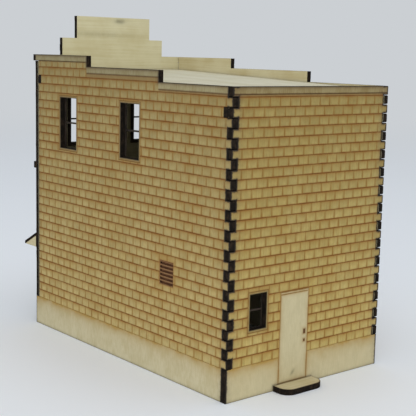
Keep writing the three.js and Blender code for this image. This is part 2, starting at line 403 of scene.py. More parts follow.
@dataclass(frozen=True)
class Smudge:
    """A soft mark left on a bare face by smoke or a fingertip."""

    centre: Colour  # place in millimetres
    reach: Colour  # how far the mark spreads along X, Y and Z
    strength: float
    slant: float = 0.0  # how far it leans over, in millimetres of level shift per millimetre of height

    def share(self, graph: Graph, along: int) -> Value:
        """How strong the mark is at every place.

        Args:
            graph: The material's graph.
            along: Axis along which the mark leans.

        Returns:
            From 0 to the mark's strength.
        """
        total = graph.math("ADD", 0.0, 0.0)
        for axis in range(3):
            offset = graph.axes[axis] - self.centre[axis]
            if axis == along and self.slant:
                offset = offset - (graph.axes[2] - self.centre[2]) * self.slant
            scaled = offset / self.reach[axis]
            total = total + scaled * scaled
        patch = graph.noise(2.5, 3.0, 0.6, 15.0).ease(0.25, 0.7, 0.55, 1.0)
        return total.falloff(1.0) * patch * self.strength


@dataclass(frozen=True)
class Plywood:
    """Bare plywood face: pale veneer, fine grain, soft clouds and a scorched rim."""

    name: str
    pale: Colour = srgb(206, 196, 160)
    tan: Colour = srgb(186, 170, 126)
    rim: Colour = srgb(84, 54, 34)
    mark: Colour = srgb(104, 100, 76)
    grain_axis: int = 1
    grain_length: float = 40.0
    grain_width: float = 0.9
    smudges: tuple[Smudge, ...] = ()
    painted_shade_below: float = 0.0  # height under which the face is darkened with painted shade, as inside under the roof
    # how dark the painted shade makes the face
    painted_shade_tone: float = 0.6
    relief: float = 0.05
    gloss: float = 0.25

    def veneer(self, graph: Graph) -> tuple[Socket, Value]:
        """Colour and grain of the bare face.

        Args:
            graph: The material's graph.

        Returns:
            The colour, and the grain as a height.
        """
        streaks = [self.grain_width] * 3
        streaks[self.grain_axis] = self.grain_length
        bands = [9.0] * 3
        bands[self.grain_axis] = 120.0
        grain = graph.noise(tuple(streaks), 4.0, 0.6, 3.1)
        band = graph.noise(tuple(bands), 2.0, 0.5, 7.7)
        cloud = graph.noise(16.0, 3.0, 0.6, 1.3)
        mixed = grain * 0.42 + band * 0.33 + cloud * 0.45
        colour = graph.blend(mixed.ease(0.42, 0.80), self.pale, self.tan)
        return colour, grain

    def material(self) -> bpy.types.Material:
        """The finished material, darker where the piece's rim attribute says so."""
        graph = Graph(self.name)
        colour, grain = self.veneer(graph)
        for smudge in self.smudges:
            colour = graph.blend(smudge.share(graph, self.grain_axis), colour, self.mark)
        # painted shade: the face is darker below the given height, as shade falls inside the building
        if self.painted_shade_below:
            line = self.painted_shade_below
            under = graph.axes[2].ease(line - 1.5, line + 0.5, self.painted_shade_tone, 1.0)
            colour = graph.shade(colour, under)
        rim = graph.attribute(RIM)
        colour = graph.blend((rim * rim) * 0.9, colour, self.rim)
        return graph.finish(colour, grain.ease(0.2, 0.8, 0.62, 0.8), grain, self.relief, self.gloss)


@dataclass(frozen=True)
class CharredEdge:
    """Cut edge of the sheet, burnt by the cutting beam: near black, with the plies just showing."""

    name: str = "charred_edge"
    black: Colour = srgb(25, 22, 19)
    brown: Colour = srgb(56, 45, 35)

    def material(self) -> bpy.types.Material:
        """The finished material."""
        graph = Graph(self.name)
        ridges = graph.noise((0.5, 0.5, 3.0), 3.0, 0.6, 2.0)
        patch = graph.noise((3.0, 3.0, 2.4), 2.0, 0.5, 9.0)
        tone = (ridges * 0.6 + patch * 0.6).ease(0.5, 0.86)
        colour = graph.blend(tone, self.black, self.brown)
        return graph.finish(colour, patch.ease(0.3, 0.7, 0.8, 0.95), ridges, 0.12, 0.04)


@dataclass(frozen=True)
class Card:
    """Thin card, scorched brown by the cutting beam."""

    name: str
    light: Colour = srgb(66, 56, 46)
    dark: Colour = srgb(34, 29, 25)

    def material(self) -> bpy.types.Material:
        """The finished material."""
        graph = Graph(self.name)
        fibre = graph.noise(0.6, 4.0, 0.65, 4.0)
        cloud = graph.noise(6.0, 2.0, 0.5, 5.0)
        colour = graph.blend((fibre * 0.5 + cloud * 0.5).ease(0.35, 0.65), self.dark, self.light)
        return graph.finish(colour, fibre.ease(0.3, 0.7, 0.75, 0.9), fibre, 0.05, 0.2)


@dataclass(frozen=True)
class Stone:
    """Plywood face engraved with blocks: brown lines, golden scorch beside them, pale middles."""

    pale: Colour = srgb(194, 176, 120)
    tan: Colour = srgb(182, 161, 103)
    gold: Colour = srgb(160, 121, 56)
    brown: Colour = srgb(134, 85, 36)
    brown_dark: Colour = srgb(88, 62, 36)
    joint: Colour = srgb(142, 106, 48)
    pit: Colour = srgb(86, 54, 28)
    vent: Colour = srgb(124, 86, 56)
    # soot colour, also used for the painted contact shadow along the bottom and beside a piece that stands
    # against the face
    soot: Colour = srgb(36, 30, 25)
    haze: Colour = srgb(84, 66, 58)
    coping: Colour = srgb(152, 143, 109)
    coping_dark: Colour = srgb(136, 124, 88)
    strip: Colour = srgb(158, 128, 78)
    plinth: Colour = srgb(204, 194, 160)
    plinth_tan: Colour = srgb(190, 178, 140)
    plinth_scorch: Colour = srgb(170, 138, 74)
    mark: Colour = srgb(104, 100, 76)


# ---------------- modelling by operators


def select_only(piece: Piece) -> None:
    """Makes the piece the only selected object, and the active one."""
    for other in bpy.context.view_layer.objects:
        other.select_set(False)
    piece.select_set(True)
    bpy.context.view_layer.objects.active = piece


@contextmanager
def editing(piece: Piece) -> Iterator[None]:
    """Opens the piece in edit mode with nothing selected, and closes it again."""
    select_only(piece)
    bpy.ops.object.mode_set(mode="EDIT")
    bpy.ops.mesh.select_all(action="DESELECT")
    yield
    bpy.ops.object.mode_set(mode="OBJECT")


class Kind(Enum):
    """A kind of mesh part, with the name that a mesh keeps its parts under."""

    FACE = "faces"
    EDGE = "edges"
    VERT = "verts"


def select(piece: Piece, kind: Kind, wanted: Callable[[Part], bool]) -> int:
    """Selects the parts of a mesh that pass a test, and nothing else.

    Args:
        piece: The object in edit mode.
        kind: The kind of part.
        wanted: The test.

    Returns:
        How many parts are selected.
    """
    bpy.ops.mesh.select_mode(type=kind.name)
    bpy.ops.mesh.select_all(action="DESELECT")
    mesh = bmesh.from_edit_mesh(piece.data)
    chosen = [part for part in getattr(mesh, kind.value) if wanted(part)]
    for part in chosen:
        part.select_set(True)
    bmesh.update_edit_mesh(piece.data, loop_triangles=False, destructive=False)
    return len(chosen)


def copy_of(node: str, name: str) -> Piece:
    """A welded copy of a CAD node, with its flat faces whole again.

    Args:
        node: Name of the CAD node.
        name: Name of the new piece.

    Returns:
        The new piece, without materials.
    """
    mesh = frame["nodes"][node].data.copy()
    mesh.materials.clear()
    piece = bpy.data.objects.new(name, mesh)
    mesh.name = name
    bpy.context.scene.collection.objects.link(piece)
    with editing(piece):
        bpy.ops.mesh.select_all(action="SELECT")
        bpy.ops.mesh.remove_doubles(threshold=0.01 * MM)
        bpy.ops.mesh.dissolve_limited(angle_limit=FLAT)
        bpy.ops.mesh.faces_shade_flat()
    return piece


def place(piece: Piece, body: str, slot: str, node: str) -> None:
    """Hands a finished piece to the frame.

    Args:
        piece: The finished piece.
        body: Body that it rides on.
        slot: The record's material slot; not used.
        node: CAD node that it stands for.
    """
    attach(piece, body)
    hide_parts(node)
    log.info("%s: %d faces on %s", piece.name, len(piece.data.polygons), body)


# ---------------- engraved walls


@dataclass(frozen=True)
class Bond:
    """The running bond: where one joint of the even and of the odd courses lies along the wall."""

    even_joint: float
    odd_joint: float
    block: float

    def joint(self, course: int) -> float:
        """A joint's place in a course."""
        return self.odd_joint if course % 2 else self.even_joint

    def level_lines(self, top: float) -> list[float]:
        """Heights of the lines between courses, up to the top."""
        count = int((top - PLINTH) / COURSE) + 1
        return [PLINTH + index * COURSE for index in range(count)]

    def upright_lines(self, low: float, high: float) -> list[float]:
        """Places of every joint of both kinds of course between two ends."""
        found = []
        for joint in (self.even_joint, self.odd_joint):
            first = math.ceil((low + TINY - joint) / self.block)
            last = math.floor((high - TINY - joint) / self.block)
            found += [joint + index * self.block for index in range(first, last + 1)]
        return sorted(found)

    def is_level(self, v: float) -> bool:
        """Whether a height is a line between courses."""
        return abs((v - PLINTH + COURSE / 2) % COURSE - COURSE / 2) < TINY

    def is_joint(self, u: float, v: float) -> bool:
        """Whether a point on the wall is on a joint of its course."""
        course = math.floor((v - PLINTH) / COURSE)
        return abs((u - self.joint(course) + self.block / 2) % self.block - self.block / 2) < TINY


@dataclass(frozen=True)
class Run:
    """A stretch of wall of one height, from u0 to u1, with its coping along the top."""

    u0: float
    u1: float
    top: float
    coping_tone: float = 1.0

    @property
    def joints_end(self) -> float:
        """Height above which there are no joints: a strip too low for blocks is left plain."""
        coping = self.top - COPING
        line = PLINTH + math.floor((coping - PLINTH) / COURSE) * COURSE
        return line if coping - line < LOWEST_BLOCK else coping


@dataclass(frozen=True)
class End:
    """An upright end of a wall, where it meets its neighbour at the building's corner."""

    u: float
    sign: int  # +1 where the wall runs out towards larger u
    even: bool  # whether the even courses reach the corner
    odd: bool
    plinth: bool
    cap: bool | None = None  # whether the coping does, where it differs from the courses
    reach: float = 0.6  # how far the soot reaches

    @property
    def fingered(self) -> bool:
        """Whether the courses take turns."""
        return self.even != self.odd

    def soot(self, face: "StoneFace") -> tuple[Value, Value]:
        """Soot beside the end's cut edges.

        Args:
            face: The engraved face that the soot lies on.

        Returns:
            The black core and the wider brown haze, from 0 to 1.
        """
        outer = (face.u - self.u) * -self.sign
        inner = outer - CUT_BACK
        low = face.v.below(PLINTH)
        owned = (face.odd * float(self.odd) + (1.0 - face.odd) * float(self.even)) * (1.0 - low)
        owned = owned + low * float(self.plinth)
        if self.cap is not None:
            high = face.v.above(CORNER_CAP)
            owned = owned * (1.0 - high) + high * float(self.cap)
        reached = outer.least(face.to_line.most(inner) + low * FAR) if self.fingered else outer
        distance = owned * reached + (1.0 - owned) * inner.most(0.0)
        distance = distance * face.graph.noise(1.6, 3.0, 0.6, 31.0).ease(0.25, 0.75, 0.75, 1.35)
        return distance.falloff(self.reach, 4.0), distance.falloff(self.reach * 1.8) * 0.5


@dataclass
class EngravedWall:
    """One wall sheet, engraved on its outer face with blocks, copings and surrounds."""

    node: str
    facing: Facing
    bond: Bond
    runs: list[Run]
    ends: list[End]
    openings: list[Rect] = field(default_factory=list)
    plain: list[Rect] = field(default_factory=list)
    vents: list[Rect] = field(default_factory=list)
    pits: list[Rect] = field(default_factory=list)
    smudges: tuple[Smudge, ...] = ()
    inner_smudges: tuple[Smudge, ...] = ()
    inner_tones: tuple[Colour, Colour] = (srgb(210, 201, 165), srgb(190, 175, 131))
    shadow: Rect | None = None  # thin dark line where another piece stands against the face
    surround: float = 1.2  # from an opening to its engraved outline
    groove_depth: float = 0.28
    groove_half: float = 0.17
    rim_depth: float = 0.09  # how far the burnt rim of the sheet falls away
    tip_radius: float = 0.65  # rounding of the fingers' burnt corners
    finish: Stone = Stone()

    def __post_init__(self) -> None:
        """Works out the outer face's place and the areas that carry no blocks."""
        low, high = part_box(self.node)
        across = self.facing.across
        sign = self.facing.value[1]
        self.face = (high if sign > 0 else low)[across] / MM
        self.u_low = low[self.facing.along] / MM
        self.u_high = high[self.facing.along] / MM
        self.outlines = [opening.grown(self.surround) for opening in self.openings]
        self.outlines += self.plain + self.vents + self.pits

    def depth(self, point: Vector) -> float:
        """How far a point lies inside the outer face."""
        return (self.face - point[self.facing.across] / MM) * self.facing.value[1]

    def flat(self, point: Vector) -> tuple[float, float]:
        """A point's place on the face, along and up."""
        return point[self.facing.along] / MM, point.z / MM

    def run_at(self, u: float) -> Run:
        """The tallest stretch of wall that holds a place along it."""
        return max((run for run in self.runs if run.u0 - TINY < u < run.u1 + TINY), key=lambda run: run.top)

    def is_outer(self, face: bmesh.types.BMFace) -> bool:
        """Whether a face is part of the outer face."""
        looks_out = face.normal.dot(self.facing.outward) > FACES_OUT
        return looks_out and self.depth(face.calc_center_median()) < TINY

    def is_groove(self, u: float, v: float, level: bool) -> bool:
        """Whether a short edge of the face is an engraved line.

        Args:
            u: Place of its middle along the wall.
            v: Height of its middle.
            level: Whether the edge is level.

        Returns:
            True for an engraved line.
        """
        if any(area.outlines(u, v) for area in self.outlines):
            return True
        if any(area.holds(u, v) for area in self.outlines):
            return False
        run = self.run_at(u)
        coping = run.top - COPING
        if level and abs(v - coping) < TINY:
            return True
        if v > coping + TINY:
            return not level and any(abs(u - run.u1) < TINY for run in self.runs[:-1])
        if v < PLINTH - TINY:
            return False
        if level:
            return self.bond.is_level(v)
        return v < run.joints_end and self.bond.is_joint(u, v)

    def lines(self) -> tuple[list[float], list[float]]:
        """Every height and every place along the wall where the face is scored."""
        level = set(self.bond.level_lines(max(run.top for run in self.runs)))
        upright = set(self.bond.upright_lines(self.u_low, self.u_high))
        level |= {run.top - COPING for run in self.runs}
        upright |= {run.u1 for run in self.runs[:-1]}
        for area in self.outlines:
            level |= {area.v0, area.v1}
            upright |= {area.u0, area.u1}
        return sorted(level), sorted(upright)

    def round_tips(self, piece: Piece) -> None:
        """Rounds the burnt corners of the fingers."""
        ends = [end.u for end in self.ends if end.fingered]
        top = max(run.top for run in self.runs)

        def tip(edge: bmesh.types.BMEdge) -> bool:
            """Whether an edge runs through the sheet at the tip of a finger."""
            first, second = (vertex.co for vertex in edge.verts)
            if abs(self.depth(first) - self.depth(second)) < SHEET - TINY:
                return False
            u, v = self.flat(first)
            at_end = any(abs(u - end) < TINY for end in ends)
            return at_end and PLINTH + 1 < v < top + 1 and edge.calc_face_angle_signed(0.0) > 0.5

        if select(piece, Kind.EDGE, tip):
            bpy.ops.mesh.bevel(offset=self.tip_radius * MM, segments=3, affect="EDGES")

    def score(self, piece: Piece) -> None:
        """Cuts the outer face along every line, then heals it where nothing is engraved."""
        level, upright = self.lines()
        cuts = [(Vector((0, 0, v)) * MM, Vector((0, 0, 1))) for v in level]
        along = Vector((0, 0, 0))
        along[self.facing.along] = 1
        cuts += [(along * u * MM, along) for u in upright]
        for spot, normal in cuts:
            select(piece, Kind.FACE, self.is_outer)
            bpy.ops.mesh.bisect(plane_co=spot, plane_no=normal, threshold=0.002 * MM)

        def engraved(edge: bmesh.types.BMEdge) -> bool:
            """Whether an edge is an engraved line inside the outer face."""
            if len(edge.link_faces) != 2 or not all(self.is_outer(face) for face in edge.link_faces):
                return False
            first, second = (vertex.co for vertex in edge.verts)
            (u0, v0), (u1, v1) = self.flat(first), self.flat(second)
            if abs(u0 - u1) > TINY and abs(v0 - v1) > TINY:
                return False
            return self.is_groove((u0 + u1) / 2, (v0 + v1) / 2, abs(v0 - v1) <= TINY)

        select(piece, Kind.EDGE, engraved)
        bpy.ops.mesh.mark_seam()
        select(piece, Kind.FACE, self.is_outer)
        bpy.ops.mesh.dissolve_limited(angle_limit=FLAT, delimit={"SEAM"})

    def number_zones(self, piece: Piece) -> list[int]:
        """Numbers the areas between the lines, each in a layer of its faces.

        Args:
            piece: The wall in edit mode.

        Returns:
            The numbers of the areas that have more than one face.
        """
        mesh = bmesh.from_edit_mesh(piece.data)
        zone = mesh.faces.layers.int.new(ZONE)
        outer = {face for face in mesh.faces if self.is_outer(face)}
        number = 0
        wide = []
        for start in sorted(outer, key=lambda face: face.index):
            if start[zone]:
                continue
            number += 1
            start[zone] = number
            members = [start]
            for face in members:
                beyond = (other for edge in face.edges if not edge.seam for other in edge.link_faces)
                for other in beyond:
                    if other in outer and not other[zone]:
                        other[zone] = number
                        members.append(other)
            if len(members) > 1:
                wide.append(number)
        bmesh.update_edit_mesh(piece.data)
        return wide

    def carve(self, piece: Piece) -> None:
        """Draws every block in from its lines and sinks the lines, so that they are grooves."""
        wide = self.number_zones(piece)
        mesh = bmesh.from_edit_mesh(piece.data)
        outer = [face for face in mesh.faces if self.is_outer(face)]

        def spot(point: Vector) -> tuple[float, float]:
            """A point's rounded place on the face."""
            u, v = self.flat(point)
            return round(u, 2), round(v, 2)

        seams = [edge for face in outer for edge in face.edges if edge.seam]
        lined = {spot(vertex.co) for edge in seams for vertex in edge.verts}
        rims = {spot(vertex.co) for face in outer for vertex in face.verts} - lined

        def zone_of(face: bmesh.types.BMFace) -> int:
            """Number of the area that a face belongs to."""
            return face[bmesh.from_edit_mesh(piece.data).faces.layers.int[ZONE]]

        thickness = self.groove_half * MM
        select(piece, Kind.FACE, lambda face: zone_of(face) > 0 and zone_of(face) not in wide)
        bpy.ops.mesh.inset(thickness=thickness, use_individual=True)
        for number in wide:
            select(piece, Kind.FACE, lambda face: zone_of(face) == number)
            bpy.ops.mesh.inset(thickness=thickness, use_boundary=True)

        def in_groove(co: Vector) -> bool:
            """Whether a point of the face is on a line or inside a pit."""
            return spot(co) in lined or any(pit.holds(*self.flat(co)) for pit in self.pits)

        steps = ((lambda co: spot(co) in rims, self.rim_depth), (in_groove, self.groove_depth))
        for wanted, depth in steps:
            select(piece, Kind.VERT, lambda vertex: self.depth(vertex.co) < TINY and wanted(vertex.co))
            bpy.ops.transform.translate(value=self.facing.outward * -depth * MM)

    def dress(self, piece: Piece) -> None:
        """Gives the outer face, the bare inner face and the burnt cut edges their finishes."""
        # the bare inside is darkened with painted shade below the roof line
        inside = Plywood(f"bare_inside_{self.node}", *self.inner_tones, grain_axis=self.facing.along,
                         smudges=self.inner_smudges, painted_shade_below=ROOF_LINE)
        slots = CharredEdge(f"scorched_slots_{self.node}", srgb(90, 60, 42), srgb(118, 80, 56))
        piece.data.materials.append(StoneFace(self).material())
        for finish in (inside, CharredEdge(), slots):
            piece.data.materials.append(finish.material())
        for face in piece.data.polygons:
            depth = self.depth(face.center)
            square_on = abs(face.normal.dot(self.facing.outward))
            if depth > SHEET - TINY:
                face.material_index = 1
            elif depth > self.groove_depth and square_on < 0.5 or depth > 2 * self.groove_depth:
                in_vent = any(vent.holds(*self.flat(face.center)) for vent in self.vents)
                face.material_index = 3 if in_vent else 2

    def build(self) -> None:
        """Makes the wall and hands it to the frame."""
        piece = copy_of(self.node, f"{self.node}_engraved")
        with editing(piece):
            self.round_tips(piece)
            self.score(piece)
            self.carve(piece)
        self.dress(piece)
        place(piece, "building", "stone_engraved_plywood", self.node)


class StoneFace:
    """The engraved face's material, whose marks follow the same lines as the grooves."""

    def __init__(self, wall: EngravedWall) -> None:
        """Measures every place against the wall's courses, joints, outlines and edges."""
        self.wall = wall
        self.look = wall.finish
        self.graph = Graph(f"engraved_{wall.node}")
        self.u = self.graph.axes[wall.facing.along]
        self.v = self.graph.axes[2]
        bond = wall.bond
        courses = (self.v - PLINTH) / COURSE
        self.row = courses.floor()
        self.up_block = courses.share()
        self.odd = (self.row * 0.5).share() * 2.0
        shift = self.odd * (bond.odd_joint - bond.even_joint)
        self.blocks = (self.u - bond.even_joint - shift) / bond.block
        along_block = self.blocks.share()
        self.to_line = self.up_block.least(1.0 - self.up_block) * COURSE
        self.top = self.stepped([run.top for run in wall.runs])
        self.over_coping = self.v - self.top + COPING
        self.over_plinth = self.v - PLINTH
        bare = self.over_coping.above(0.0).most(self.over_plinth.below(0.0))
        self.outline = self.constant(FAR)
        for area in wall.outlines:
            distance = self.to_rect(area)
            bare = bare.most(distance.below(0.0))
            self.outline = self.outline.least(abs(distance))
        self.smooth = self.constant(0.0)
        for area in wall.plain:
            self.smooth = self.smooth.most(self.to_rect(area).below(0.0))
        self.away = bare * FAR
        past_joints = self.v.above(self.stepped([run.joints_end for run in wall.runs]))
        to_joint = along_block.least(1.0 - along_block) * bond.block
        self.joint = to_joint + self.away + past_joints * FAR
        self.in_strip = past_joints * self.over_coping.below(0.0)
        noise = self.graph.noise
        self.wobble = noise(2.2, 2.0, 0.5, 11.0).ease(0.2, 0.8, 0.8, 1.2)
        self.heat = noise((10.0, 10.0, 8.0), 3.0, 0.6, 21.0).ease(0.25, 0.75, 0.68, 1.3)
        self.mottle = noise(3.0, 3.0, 0.6, 41.0).ease(0.2, 0.8, 0.9, 1.1)
        self.thread = noise((0.55, 0.55, 5.0), 3.0, 0.6, 47.0).ease(0.25, 0.75, 0.91, 1.09)
        self.colour, self.grain = Plywood("", self.look.pale, self.look.tan, grain_axis=2).veneer(self.graph)

    def constant(self, number: float) -> Value:
        """A plain number as a node value."""
        return self.graph.math("ADD", number, 0.0)

    def stepped(self, heights: list[float]) -> Value:
        """A number that changes from one stretch of wall to the next."""
        height = self.constant(heights[0])
        for run, before, after in zip(self.wall.runs, heights, heights[1:]):
            height = height + self.u.above(run.u1) * (after - before)
        return height

    def to_rect(self, area: Rect) -> Value:
        """Distance out of a rectangle, negative inside."""
        level = abs(self.u - (area.u0 + area.u1) / 2) - (area.u1 - area.u0) / 2
        upright = abs(self.v - (area.v0 + area.v1) / 2) - (area.v1 - area.v0) / 2
        return level.most(upright)

    def stain(self, share: Value, tone: Colour | Socket) -> None:
        """Lays a colour over the face, as strongly as the share says."""
        self.colour = self.graph.blend(share, self.colour, tone)

    def scorch_blocks(self) -> None:
        """Varies the blocks' tone, scorches them golden beside their lines, and darkens them with height as
        painted shade.
        """
        tone = self.graph.cell(self.row, self.blocks.floor(), self.odd).ease(0.0, 1.0, 0.94, 1.05)
        self.colour = self.graph.shade(self.graph.shade(self.colour, tone * self.thread), self.mottle)
        scorch = ((1.0 - self.up_block) * COURSE + self.away).falloff(SCORCH_REACH) * 0.95
        scorch = scorch.most((self.up_block * COURSE + self.away).falloff(0.45) * 0.8)
        self.stain(scorch.most(self.joint.falloff(1.0) * 0.68) * self.heat, self.look.gold)
        self.stain(self.in_strip * 0.75, self.look.strip)
        # painted shade: the blocks darken with height, as the upper wall gets less light
        smoke = 1.0 - (self.over_plinth * HEIGHT_SHADE_PER_MM).most(0.0)
        self.colour = self.graph.shade(self.colour, smoke)

    def lay_plain_areas(self) -> None:
        """Colours the plinth, the plain panels and the coping."""
        graph, look = self.graph, self.look
        cloud = graph.noise((7.0, 7.0, 9.0), 4.0, 0.62, 53.0) * 0.8 + self.thread.ease(0.91, 1.09) * 0.2
        plain = graph.blend(cloud.ease(0.3, 0.7), look.plinth, look.plinth_tan)
        plain = graph.shade(plain, self.mottle.ease(0.9, 1.1, 0.985, 1.015))
        fade = (self.over_plinth * -1.0).falloff(3.6) * self.heat * (1.0 - self.smooth)
        plain = graph.blend(fade, plain, look.plinth_scorch)
        self.stain(self.over_plinth.below(0.0).most(self.smooth), plain)
        band = graph.blend(cloud.ease(0.35, 0.65), look.coping, look.coping_dark)
        band = graph.shade(band, self.stepped([run.coping_tone for run in self.wall.runs]))
        band = graph.blend((self.top - self.v).falloff(0.9) * 0.4, band, look.brown)
        self.stain(self.over_coping.above(0.0) * 0.9, band)

    def burn_lines(self) -> None:
        """Burns the joints, the courses and the outlines brown."""
        heat, wobble = self.heat, self.wobble
        self.stain(self.outline.falloff(0.9) * heat * 0.7, self.look.gold)
        core = (self.joint * wobble).falloff(0.5, 2.0) * 0.6
        core = core.most((self.outline * wobble).falloff(0.4, 2.0) * 0.7)
        self.stain(core * heat, self.look.joint)
        faint = abs(self.over_plinth).ease(0.4, 1.2, 0.3, 1.0)
        line = ((self.to_line + self.away) * wobble).falloff(0.42, 2.0)
        self.stain(line * faint * heat * 0.78, self.look.brown)
        self.stain((abs(self.over_coping) * wobble).falloff(0.38, 2.0) * 0.9, self.look.brown_dark)

    def add_marks(self) -> None:
        """Adds the smudges, the pits and the louvre."""
        for smudge in self.wall.smudges:
            self.stain(smudge.share(self.graph, self.wall.facing.along), self.look.mark)
        for pit in self.wall.pits:
            self.stain(self.to_rect(pit).falloff(0.3), self.look.pit)
        for vent in self.wall.vents:
            self.stain(self.to_rect(vent).falloff(2.5) * self.heat * 0.5, self.look.gold)
            self.stain(self.to_rect(vent).falloff(0.45, 2.0) * 0.85, self.look.vent)

    def blacken_edges(self) -> None:
        """Lays soot beside the sheet's top, openings and ends, soot with painted contact shadow along the
        bottom, and painted contact shadow where another piece stands against the face.
        """
        edge = self.top - self.v
        for before, after in zip(self.wall.runs, self.wall.runs[1:]):
            low = min(before.top, after.top)
            edge = edge.least(abs(self.u - before.u1).most(low - self.v))
        # along the bottom: charred edge with painted contact shadow where the wall stands on the floor
        core = edge.falloff(0.55).most(self.v.falloff(0.5) * 0.85)
        haze = edge.falloff(0.9) * 0.35
        for opening in self.wall.openings:
            distance = self.to_rect(opening)
            core = core.most(distance.falloff(0.3))
            haze = haze.most(distance.falloff(0.9) * 0.6)
        # painted contact shadow where another piece stands against the face
        if self.wall.shadow:
            core = core.most(abs(self.to_rect(self.wall.shadow)).falloff(0.35) * 0.6)
        for end in self.wall.ends:
            end_core, end_haze = end.soot(self)
            core, haze = core.most(end_core), haze.most(end_haze)
        self.stain(haze, self.look.haze)
        self.stain(core, self.look.soot)

    def material(self) -> bpy.types.Material:
        """The finished material, laid on in the order in which the marks lie."""
        self.scorch_blocks()
        self.lay_plain_areas()
        self.burn_lines()
        self.add_marks()
        self.blacken_edges()
        return self.graph.finish(self.colour, self.grain.ease(0.2, 0.8, 0.62, 0.82), self.grain, 0.05, 0.2)


# ---------------- plain sheets


@dataclass
class CutSheet:
    """A plain piece of sheet: bare faces with a scorched rim, and charred edges."""

    node: str
    finish: Plywood | Card
    slot: str
    body: str = "building"
    bevel: float = 0.15
    rim_width: float = 1.1
    squareness: float = 0.97  # how nearly a face must look the way of the largest to be bare

    def build(self) -> None:
        """Makes the piece and hands it to the frame."""
        piece = copy_of(self.node, f"{self.node}_sheet")
        across = max(piece.data.polygons, key=lambda face: face.area).normal.copy()
        with editing(piece):
            self.shape(piece)
            if isinstance(self.finish, Plywood):
                select(piece, Kind.FACE, lambda face: abs(face.normal.dot(across)) > self.squareness)
                bpy.ops.mesh.inset(thickness=self.rim_width * MM, use_boundary=True)
        piece.data.materials.append(self.finish.material())
        if isinstance(self.finish, Plywood):
            piece.data.materials.append(CharredEdge().material())
            self.scorch(piece.data, across)
        place(piece, self.body, self.slot, self.node)

    def shape(self, piece: Piece) -> None:
        """Takes the sharpness off every corner of the piece, which is in edit mode."""
        select(piece, Kind.EDGE, lambda edge: edge.calc_face_angle(0.0) > SHARP)
        bpy.ops.mesh.bevel(offset=self.bevel * MM, segments=2, affect="EDGES", clamp_overlap=True)

    def scorch(self, mesh: bpy.types.Mesh, across: Vector) -> None:
        """Chars the cut edges and notes how near each vertex is to them.

        Args:
            mesh: The piece's mesh.
            across: Direction through the sheet.
        """
        rim = mesh.attributes.new(RIM, "FLOAT", "POINT")
        for face in mesh.polygons:
            if abs(face.normal.dot(across)) <= self.squareness:
                face.material_index = 1
                for index in face.vertices:
                    rim.data[index].value = 1.0


@dataclass
class RoofBar(CutSheet):
    """A cross bar whose tabs fill the notches in the side walls a little more tightly."""

    squeeze: float = 0.1
    squeeze_across: float = 2.4  # how many times more the tabs swell across the sheet

    def shape(self, piece: Piece) -> None:
        """Swells the tabs and then takes the sharpness off every corner."""
        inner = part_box("side_wall_right")[0].x
        low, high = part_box(self.node)
        middle = (low.y + high.y) / 2
        points = [vertex.co for vertex in bmesh.from_edit_mesh(piece.data).verts]
        beyond = [co.z for co in points if abs(co.x) > inner + MM]
        tab = (min(beyond) + max(beyond)) / 2

        def swell(wanted: Callable[[Vector], bool], move: Vector) -> None:
            """Moves the tabs' points that pass a test."""
            select(piece, Kind.VERT, lambda vertex: abs(vertex.co.x) > inner - MM and wanted(vertex.co))
            bpy.ops.transform.translate(value=move * self.squeeze * MM)

        height = (max(beyond) - min(beyond)) / 2 + 0.1 * MM
        for sign in (1, -1):
            swell(lambda co: 0 < (co.z - tab) * sign < height, Vector((0, 0, sign)))
        for sign in (1, -1):
            swell(lambda co: (co.y - middle) * sign > 0, Vector((0, self.squeeze_across * sign, 0)))
        super().shape(piece)


# ---------------- the building


